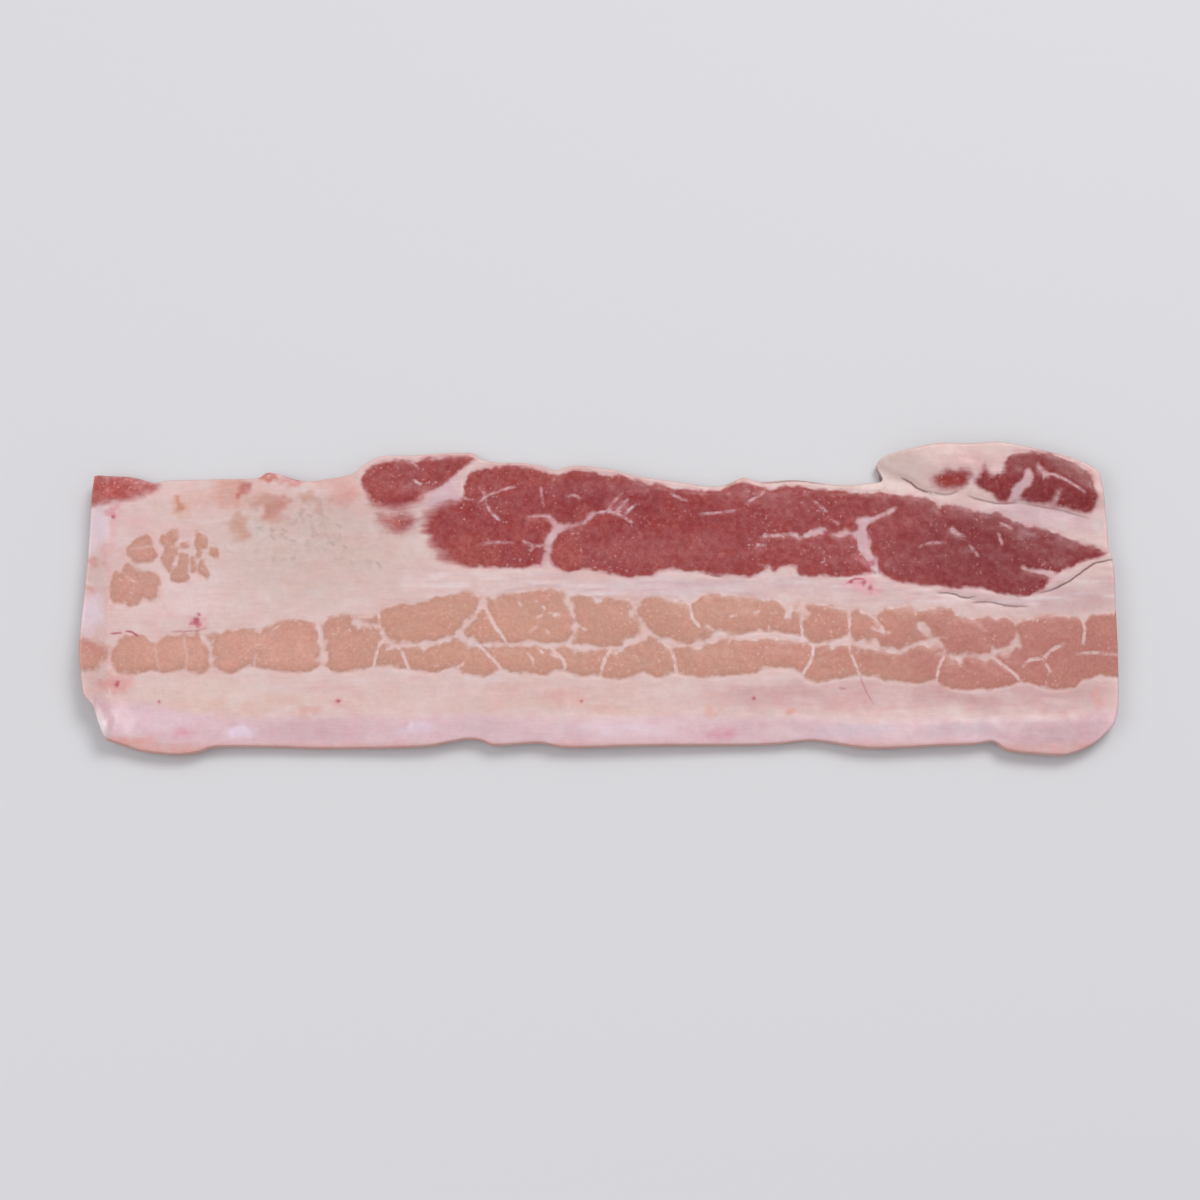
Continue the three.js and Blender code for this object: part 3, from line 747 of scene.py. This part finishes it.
STAINS_AND_RIGHT_SHADE = [
    ("#D9A997", -64.8, 14.6, 1.9, 1.8, 0.6), ("#C98C75", -64.9, 14.9, 0.8, 1.1, 0.8),
    ("#D3A195", -57, 16.8, 3.2, 2.4, 0.9), ("#BC6864", -55.3, 17.4, 1.3, 1, 0.85),
    ("#CA9C8D", -55.5, 11.4, 1.7, 2.7, 0.8), ("#C78E82", -50.2, 14.1, 2.1, 2.2, 0.9),
    ("#C79A8B", -52.6, 15.6, 1.6, 1.3, 0.8), ("#C99F90", -44.7, 15.7, 1.7, 1.2, 0.8),
    ("#C7A194", -43, 13.9, 1.3, 1.5, 0.7), ("#D4A29B", -39.6, 16, 2.6, 1.9, 0.7),
    ("#CA7D73", -50.6, 19.3, 2, 0.8, 0.9), ("#D78F8C", -46.8, 18.5, 3, 0.5, 0.7),
    ("#DC9AA2", -75, 13.6, 0.9, 1, 0.9), ("#D6A49B", -78.6, 5.3, 2.4, 0.9, 0.9),
    ("#D8ABA1", -78.8, 1.6, 2.4, 0.8, 0.8), ("#DB9D9A", -74.4, -13.4, 2.6, 2, 0.8),
    ("#D58986", -77.5, -17.4, 0.8, 0.8, 0.8), ("#E0A0A6", -62, -3.7, 1.6, 1, 0.7),
    ("#E2A6AE", 41.4, 1.8, 2.6, 1.2, 0.7), ("#E0AAA9", -74.7, -9, 0.6, 2.4, 0.7),
    ("#DBA3A0", 77.2, -16, 0.8, 2.6, 0.8), ("#D9A79E", -45, -17.8, 2.2, 0.9, 0.7),
    ("#DAA99E", 18, -17.9, 1.6, 0.6, 0.7), ("#D7A296", 29.8, -18.2, 1.2, 0.5, 0.8),
    ("#DBAAA5", -5, -15.6, 4, 1.2, 0.6), ("#DCA9A8", -39.7, -16.2, 1.4, 0.9, 0.6),
    ("#D9BDAA", 38.6, 17.6, 3, 0.5, 0.6), ("#B98A6C", 21.4, 18.3, 1.6, 0.5, 0.6),
    # The last patch is no stain but painted shade, darkening the seams towards the right end.
    ("#CBA19B", 64, -8, 18, 4.6, 0.55),
]
DARK_MEAT = "#9B3A3C"
DARK_PATCHES = [
    ("#A84F47", -20, 7, 5, 3, 0.8), ("#A74B46", -33.4, 17.6, 3.4, 3.4, 0.7),
    ("#B66156", -32, 11.8, 2.6, 1.3, 1), ("#C0706C", -75, 17, 9, 4, 1),
    ("#B34B46", -74.8, 17.2, 3.2, 1.7, 0.9), ("#AE5453", -79.6, 17.6, 1.2, 3, 0.8),
    ("#AE5048", -4.6, 7, 2.6, 2.8, 0.9),
    ("#A34A4A", 10, 6.6, 18, 2.4, 0.8), ("#943A3F", 0, 17, 9, 2.6, 0.7),
    ("#9D4A4D", -16, 14.6, 3, 1.6, 0.6), ("#A04036", -9, 18.8, 7, 1.4, 0.5),
    ("#963A3F", 9, 14.4, 4, 2, 0.6), ("#A04447", 24, 15.2, 5, 2, 0.6),
    ("#A44746", 31, 6.4, 5, 2.2, 0.6), ("#964041", 43, 15.2, 5, 1.4, 0.6),
    # The last two patches on the next line are deep wine red, darkened further towards the right end as
    # painted shade.
    ("#96393C", 50, 5, 7, 2.6, 0.7), ("#8A3337", 62, 8.4, 12, 5, 0.8),
    ("#BC7278", 3.4, 14.4, 1.9, 1.3, 0.9),
    ("#B94F45", 55.4, 18.5, 3, 1.6, 1), ("#AB3F39", 63, 17.8, 2.2, 1.8, 0.9),
    ("#8B3436", 68.8, 16.6, 2.4, 1.6, 0.7), ("#A8655F", 74.4, 20.2, 5.4, 2, 0.9),
    ("#A3504C", 66.8, 21.4, 3.4, 1.2, 0.6), ("#AA6A63", 77.6, 18.6, 1.6, 3.6, 0.8),
]
PALE_MEAT = "#C99483"
PALE_PATCHES = [
    ("#D7A192", -57, -8, 17, 4, 0.8), ("#CF9A86", -18, -6, 16, 5, 0.6),
    # The patches at x 36 and 62 are redder and deeper towards the right end: redder meat, with painted shade.
    ("#CC9080", -8, 0.6, 4, 1.2, 0.8), ("#C58678", 36, -7, 14, 6, 0.8),
    ("#BA7A71", 62, -8, 20, 6, 0.9), ("#CC978B", -68, 4, 9, 7, 0.9),
    ("#D39C90", -78.5, -9.6, 3, 2.8, 0.9), ("#CF928A", -77, -8.8, 1.6, 1.2, 0.7),
]
# Clouds of another colour, as (colour, strength, size, seed, where it starts to show, where it is full)
FAT_CLOUDS = [("#DDB1AE", 0.3, 2.4, 76, 0.1, 0.9), ("#E3CFCF", 0.3, 1.8, 77, 0.1, 0.9)]
SEAM_LAYERS = [("#E9DCDE", 0.5, 0.6, 78, 0.0, 0.9), ("#CBA6AA", 0.5, 0.6, 79, 0.0, 0.9)]
DARK_CLOUDS = [("#9C4B4C", 0.45, 1.1, 72, 0.0, 0.8), ("#A8443E", 0.40, 1.4, 73, 0.0, 0.8)]
PALE_CLOUDS = [("#D09385", 0.40, 2.3, 74, 0.0, 0.8), ("#C29889", 0.35, 1.7, 75, 0.1, 0.9)]
SEAM_IN_DARK, SEAM_IN_PALE = "#CFA9AF", "#DFC3C1"
PALE_HALO, DARK_HALO = "#E0B9B1", "#D39D9E"  # the fat right beside a muscle, which has taken up its juice
# The crease colour is painted shade: a darker pink line in the corner fold's crease.
DARK_RIM, PALE_RIM, FOLD_CREASE_SHADE = "#B2635D", "#BF8F80", "#D3918F"
# Deeper colours laid over the muscles towards the right end: partly their own, partly painted shade.
RIGHT_END_DARK_SHADED, RIGHT_END_PALE_SHADED = "#84292F", "#B8736A"
RIGHT_SHADE_FROM, RIGHT_SHADE_FULL = 40.0, 62.0  # towards the right end the muscles are deeper in colour: partly their own colour, partly painted shade
LAYERED_X, LAYERED_Y = (-36.0, -22.0), (-2.0, 0.0, 4.0, 6.0)  # the seam of fat between the two bands
# The cut rim colour darkens the side walls as painted shade.
RIND_RIM, RIND_OUTSIDE, SIDE_WALL_SHADE = "#D5A39C", "#C5958A", "#B07F74"


def linear(hex_colour):
    """An sRGB hex colour as the linear colour that the shaders use."""
    channels = [int(hex_colour[i : i + 2], 16) / 255 for i in (1, 3, 5)]
    return (*(c / 12.92 if c <= 0.04045 else ((c + 0.055) / 1.055) ** 2.4 for c in channels), 1.0)


def laid_over(colour, hex_colour, share):
    """The colours with another one laid over them, by a share for each place."""
    return colour + (np.array(linear(hex_colour)) - colour) * share[:, None]


def patched(base, patches, x, y):
    colour = np.tile(linear(base), (len(x), 1))
    for hex_colour, *oval, strength in patches:
        colour = laid_over(colour, hex_colour, strength * soft_patch(x, y, *oval))
    return colour


def clouded(colour, clouds, x, y, share=1.0):
    for hex_colour, strength, size, seed, start, full in clouds:
        cover = strength * share * ease(unevenness(x, y, size, seed), start, full)
        colour = laid_over(colour, hex_colour, cover)
    return colour


def ground_colour(x, y):
    """The fat and the rind, with what has stained them, and painted light and shade: light on the curled left
    strip and the corner fold, sheen on the rind, shade in the fold's crease, on the side walls and at the
    right end.
    """
    wide, close = ragged(x, y, 1.0), ragged(x, y, 0.5)
    torn = (close[0] + 0.8 * unevenness(x, y, 0.9, 25), close[1] + 0.6 * unevenness(x, y, 0.8, 26))
    fat = patched(FAT, FAT_PATCHES, *wide)
    fat = laid_over(fat, SEAM_IN_PALE, 0.8 * ease(uncut_depth, -0.6, 0.4) * (1 - darkness))
    fat = laid_over(fat, SEAM_IN_DARK, ease(uncut_depth, -0.4, 0.8) * darkness)
    fat = clouded(fat, FAT_CLOUDS, wide[0] / 2.2, wide[1])
    fat = clouded(fat, SEAM_LAYERS, x / 7, y, ease(x, *LAYERED_X) * within(y, *LAYERED_Y))
    by_lean = ease(lean_depth, -0.75, -0.15) * ease(unevenness(x, y, 1.4, 71), -0.9, 0.2)
    fat = laid_over(fat, PALE_HALO, 0.60 * by_lean * (1 - darkness))
    fat = laid_over(fat, DARK_HALO, 0.55 * by_lean * darkness)
    # Painted shade in the corner fold's crease.
    fat = laid_over(fat, FOLD_CREASE_SHADE, 0.7 * ease(beside_fold(x, y), 0.45, 0.05))
    rind = patched(RIND, RIND_PATCHES, *close)
    rind = laid_over(rind, RIND_RIM, 0.6 * ease(y, SKIN_Y + 1.0, SKIN_Y - 0.2))
    ground = fat + (rind - fat) * ease(skin, -0.9, 0.9)[:, None]
    for hex_colour, *oval, strength in STAINS_AND_RIGHT_SHADE:
        ground = laid_over(ground, hex_colour, strength * soft_patch(*torn, *oval))
    ground = laid_over(ground, RIND_OUTSIDE, 0.8 * wall * ease(y, SKIN_Y + 3.0, SKIN_Y + 1.5))
    # Painted shade: the side walls a little darker.
    return laid_over(ground, SIDE_WALL_SHADE, 0.35 * wall * ease(y, SKIN_Y + 1.5, SKIN_Y + 3.0))


def lean_colour(x, y):
    """The muscles: flushed and dull by turns, and a little different again at their borders."""
    wandering = ragged(x, y, 0.7)
    dark = patched(DARK_MEAT, DARK_PATCHES, *wandering)
    pale = patched(PALE_MEAT, PALE_PATCHES, *wandering)
    dark = laid_over(clouded(dark, DARK_CLOUDS, x, y), DARK_RIM, 0.25 * ease(lean_depth, 0.9, 0.1))
    pale = laid_over(clouded(pale, PALE_CLOUDS, x, y), PALE_RIM, 0.60 * ease(lean_depth, 1.1, 0.1))
    # Painted shade, over some real deepening: the muscles grow deeper in colour towards the right end.
    right_end_shade = 0.65 * ease(x, RIGHT_SHADE_FROM, RIGHT_SHADE_FULL)
    dark = laid_over(dark, RIGHT_END_DARK_SHADED, right_end_shade)
    pale = laid_over(pale, RIGHT_END_PALE_SHADED, right_end_shade)
    # Painted shade: the side walls a little darker.
    return laid_over(pale + (dark - pale) * darkness[:, None], SIDE_WALL_SHADE, 0.25 * wall)


def paint(name, values):
    attribute = slab.data.attributes.new(name, "FLOAT", "POINT")
    attribute.data.foreach_set("value", values.astype(np.float32))


def paint_colour(name, colours):
    attribute = slab.data.attributes.new(name, "FLOAT_COLOR", "POINT")
    attribute.data.foreach_set("color", colours.astype(np.float32).ravel())


paint("lean_depth", lean_depth)
paint("border", border)
paint("darkness", darkness)
paint("blood", blood)
paint("gristle", gristle)
for name, (side, strength) in {"thread_and_highlight": thread_and_highlight, "vessel": vessel, "crack_and_crease_shade": crack_and_crease_shade, "scrap": scrap}.items():
    paint(name + "_side", side)
    paint(name + "_strength", strength)
paint_colour("ground", ground_colour(plan_x, plan_y))
paint_colour("lean", lean_colour(plan_x, plan_y))

# --- Raw pork ---
# Wet muscle and fat, freshly sliced: light sinks in and comes back soft and a little red, and a thin film of
# moisture gives a broken satin sheen. The muscle is mottled and finely grained, the fat cloudy and layered.

BLOOD, CRACK_AND_CREASE_SHADE, GRISTLE_SHADE, SCRAP_SHADE = "#B23E58", "#7C5450", "#C2A49A", "#A3857C"
# How large each kind of unevenness is, in millimetres
SCALLOP, WIDE_SCALLOP, FIBRE_END, LINE_WAVER = 0.8, 2.0, 0.42, 0.8
LEAN_CLOUD, MOTTLE, GRAIN, SPECK, SPECKED_PLACE, THREAD_BREAK = 1.0, 0.9, 0.45, 0.45, 4.0, 1.1
STREAK, FAT_CLOUD, WIDE_FAT_CLOUD, DULL_PLACE, WET_PLACE, PIT = 0.40, 0.9, 2.6, 1.0, 2.2, 0.6
FIBRE_SHARE = 0.18  # fibres and streaks change this much more slowly along the slice than across it
USUAL = (0.3, 0.7)  # nearly all that a noise gives lies between these
SMOOTH = {"interpolation_type": "SMOOTHSTEP"}
COLOURS = {"data_type": "RGBA"}

raw_pork = bpy.data.materials.new("raw pork, wet cut face")
raw_pork.use_nodes = True
raw_pork.node_tree.nodes.clear()


def add(kind, *values, output=None, **named):
    """Adds a node to the raw pork and gives its first output, or the one asked for. Values and links go to
    its inputs in order or by name, and what is named in small letters is a setting of the node itself."""
    node = raw_pork.node_tree.nodes.new("ShaderNode" + kind)
    settings = [name for name in named if name.islower()]
    for name in settings:
        setattr(node, name, named.pop(name))
    sockets = [socket for socket in node.inputs if socket.enabled][: len(values)]
    sockets += [node.inputs[name.replace("_", " ")] for name in named]
    for socket, value in zip(sockets, [*values, *named.values()]):
        if isinstance(value, bpy.types.NodeSocket):
            raw_pork.node_tree.links.new(value, socket)
        else:
            socket.default_value = value
    if output:
        return node.outputs[output]
    return next((socket for socket in node.outputs if socket.enabled), None)


place = add("TexCoord", output="Object")
in_mm = add("Mapping", place, Scale=(1 / MM, 1 / MM, 1 / MM))
along = add("Mapping", in_mm, Scale=(FIBRE_SHARE, 1.0, 1.0))
waver = add("TexNoise", in_mm, Scale=1 / LINE_WAVER)
mottle = add("TexNoise", in_mm, Scale=1 / MOTTLE, Detail=3.0, Roughness=0.7)
streaks = add("TexNoise", along, Scale=1 / STREAK, Detail=3.0, Roughness=0.6)
painted = {
    name: add("Attribute", attribute_name=name, output="Fac")
    for name in ("lean_depth", "border", "darkness", "blood", "gristle")
}


def fine_line(name, half_width, sway, share):
    """The share along the painted lines of one kind, and 0 beside them."""
    side = add("Attribute", attribute_name=name + "_side", output="Fac")
    strength = add("Attribute", attribute_name=name + "_strength", output="Fac")
    shift = add("Math", waver, sway, -sway / 2, operation="MULTIPLY_ADD")
    distance = add("Math", add("Math", side, shift, operation="ADD"), operation="ABSOLUTE")
    on_line = add("MapRange", distance, 1.7 * half_width, 0.3 * half_width, 0.0, share, **SMOOTH)
    return add("Math", on_line, strength, operation="MULTIPLY")


def varied(colour, noise, brightness, richness):
    """The colour as the noise goes, between two brightnesses and between two richnesses."""
    value = add("MapRange", noise, *USUAL, *brightness, **SMOOTH)
    saturation = add("MapRange", noise, *USUAL, *richness, **SMOOTH)
    return add("HueSaturation", Color=colour, Value=value, Saturation=saturation)


def muscle_share():
    """1 in the muscle and 0 in the fat. The border is scalloped, and where it is soft its fibres fray."""
    depth, softness = painted["lean_depth"], painted["border"]
    scallops = add("TexNoise", in_mm, Scale=1 / SCALLOP, Detail=0.0)
    wide_scallops = add("TexNoise", in_mm, Scale=1 / WIDE_SCALLOP, Detail=0.0)
    fibre_ends = add("TexNoise", along, Scale=1 / FIBRE_END)
    for noise, reach in [(scallops, 0.5), (wide_scallops, 0.7), (fibre_ends, softness)]:
        shift = add("Math", noise, 0.5, operation="SUBTRACT")
        depth = add("Math", shift, reach, depth, operation="MULTIPLY_ADD")
    in_borders = add("Math", depth, softness, operation="DIVIDE")
    return add("MapRange", in_borders, -1.1, 1.1, 0.0, 1.0, **SMOOTH)


def fat_colour():
    """Streaked along its layers and faintly cloudy."""
    clouds = add("TexNoise", in_mm, Scale=1 / FAT_CLOUD, Detail=3.0)
    wide_clouds = add("TexNoise", in_mm, Scale=1 / WIDE_FAT_CLOUD)
    fat = varied(add("Attribute", attribute_name="ground"), streaks, (0.98, 1.02), (1.04, 0.96))
    fat = varied(fat, clouds, (0.975, 1.025), (1.0, 1.0))
    return varied(fat, wide_clouds, (1.0, 1.0), (0.92, 1.08))


def muscle_colour(fat):
    """Mottled where it is dark and finely grained where it is pale, with specks and threads of fat in it, and
    one painted highlight drawn as a thread along the loose lobe's top.
    """
    clouds = add("TexNoise", in_mm, Scale=1 / LEAN_CLOUD, Detail=1.0)
    grain = add("TexNoise", in_mm, Scale=1 / GRAIN, Detail=1.0)
    lean = varied(add("Attribute", attribute_name="lean"), clouds, (0.97, 1.03), (1.0, 1.0))
    dark = varied(lean, mottle, (0.87, 1.12), (1.06, 0.93))
    pale = varied(lean, grain, (0.97, 1.03), (1.03, 0.97))
    lean = add("Mix", painted["darkness"], pale, dark, **COLOURS)
    specks = add("TexNoise", in_mm, Scale=1 / SPECK, Detail=0.0)
    specks = add("MapRange", specks, 0.68, 0.80, 0.0, 0.5, **SMOOTH)
    specked = add("TexNoise", in_mm, Scale=1 / SPECKED_PLACE)
    specked = add("MapRange", specked, 0.48, 0.63, 0.0, 1.0, **SMOOTH)
    lean = add("Mix", add("Math", specks, specked, operation="MULTIPLY"), lean, fat, **COLOURS)
    breaks = add("TexNoise", in_mm, Scale=1 / THREAD_BREAK)
    breaks = add("MapRange", breaks, 0.35, 0.60, 0.30, 1.0, **SMOOTH)
    # The threads of fat, with the painted highlight along the loose lobe's top among them.
    threads = add("Math", fine_line("thread_and_highlight", 0.24, 0.5, 1.0), breaks, operation="MULTIPLY")
    return add("Mix", threads, lean, fat, **COLOURS)


def dried_fat(fat):
    """The fat with its dull gristly place and the dry scraps in it."""
    dull = add("TexNoise", in_mm, Scale=1 / DULL_PLACE, Detail=3.0)
    dull = add("MapRange", dull, 0.48, 0.70, 0.0, 0.35, **SMOOTH)
    dull = add("Math", dull, painted["gristle"], operation="MULTIPLY")
    fat = add("Mix", dull, fat, linear(GRISTLE_SHADE), **COLOURS)
    return add("Mix", fine_line("scrap", 0.26, 0.5, 0.4), fat, linear(SCRAP_SHADE), **COLOURS)


fat = fat_colour()
colour = add("Mix", muscle_share(), dried_fat(fat), muscle_colour(fat), **COLOURS)
marks = [
    (fine_line("vessel", 0.16, 0.3, 0.8), BLOOD),
    (add("MapRange", painted["blood"], 0, 1, 0, 0.85, **SMOOTH), BLOOD),
    # The dark lines of the cracks, and painted shade along the loose lobe's crease
    (fine_line("crack_and_crease_shade", 0.15, 0.25, 0.85), CRACK_AND_CREASE_SHADE),
]
for share, hex_colour in marks:
    colour = add("Mix", share, colour, linear(hex_colour), **COLOURS)

# The film of moisture lies unevenly over the mottled meat and shows the fine pits of the cut.
wet = add("TexNoise", in_mm, Scale=1 / WET_PLACE, Detail=3.0)
wet = add("MapRange", wet, *USUAL, 0.32, 0.50, **SMOOTH)
pits = add("TexNoise", in_mm, Scale=1 / PIT, Detail=3.0)
normal = add("Bump", Strength=0.2, Distance=0.02 * MM, Height=mottle)
normal = add("Bump", Strength=0.4, Distance=0.05 * MM, Height=pits, Normal=normal)
surface = add(
    "BsdfPrincipled", Base_Color=colour, Roughness=wet, Normal=normal, IOR=1.40,
    Subsurface_Weight=0.4, Subsurface_Radius=(1.0, 0.4, 0.3), Subsurface_Scale=0.8 * MM,
    Coat_Weight=0.15, Coat_Roughness=0.20, Coat_IOR=1.33,
)
add("OutputMaterial", Surface=surface)

slab.data.materials.append(raw_pork)
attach(slab, "root")
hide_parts("pork_belly_slice")

# --- The table ---
# A plain pale surface, matt enough to show only a soft shadow.

FLOOR_SIZE = 3.0
FLOOR_COLOUR = "#D8D8DB"
FLOOR_GAP = 0.02 * MM  # the floor lies this much lower, so that the two faces don't coincide

bpy.ops.object.select_all(action="DESELECT")
bpy.ops.mesh.primitive_plane_add(size=FLOOR_SIZE, location=(0, 0, -FLOOR_GAP))
floor = bpy.context.object
floor.name = "table"
floor_paint = bpy.data.materials.new("matt pale table")
floor_paint.use_nodes = True
paint_inputs = floor_paint.node_tree.nodes["Principled BSDF"].inputs
paint_inputs["Base Color"].default_value = linear(FLOOR_COLOUR)
paint_inputs["Roughness"].default_value = 0.6
floor.data.materials.append(floor_paint)

# --- Light and camera ---
# A large soft light from the far right, a weaker one from the left, and a pale room all round.

ROOM_COLOUR, ROOM_STRENGTH = "#F6F6F8", 0.59

def soft_light(name, place, size, watts):
    lamp = bpy.data.lights.new(name, "AREA")
    lamp.size, lamp.energy = size, watts
    holder = bpy.data.objects.new(name, lamp)
    bpy.context.scene.collection.objects.link(holder)
    holder.location = place
    holder.rotation_euler = (-Vector(place)).to_track_quat("-Z", "Y").to_euler()


soft_light("key", (0.42, 0.72, 1.18), 0.60, 9.1)
soft_light("fill", (-0.60, -0.10, 0.70), 0.60, 1.4)

room = bpy.data.worlds.new("pale room")
room.use_nodes = True
room.node_tree.nodes["Background"].inputs["Color"].default_value = linear(ROOM_COLOUR)
room.node_tree.nodes["Background"].inputs["Strength"].default_value = ROOM_STRENGTH
bpy.context.scene.world = room
bpy.context.scene.view_settings.view_transform = "Standard"

CAMERA_ELEVATION = math.radians(80)
CAMERA_DISTANCE = 0.45
SHOWN_WIDTH = 0.187  # of the plane through the slice

camera = bpy.data.objects.new("camera", bpy.data.cameras.new("camera"))
bpy.context.scene.collection.objects.link(camera)
toward_camera = Vector((0, -math.cos(CAMERA_ELEVATION), math.sin(CAMERA_ELEVATION)))
camera.location = toward_camera * CAMERA_DISTANCE
camera.rotation_euler = toward_camera.to_track_quat("Z", "Y").to_euler()
camera.data.lens = camera.data.sensor_width * CAMERA_DISTANCE / SHOWN_WIDTH
camera.data.clip_start = 0.01
bpy.context.scene.camera = camera
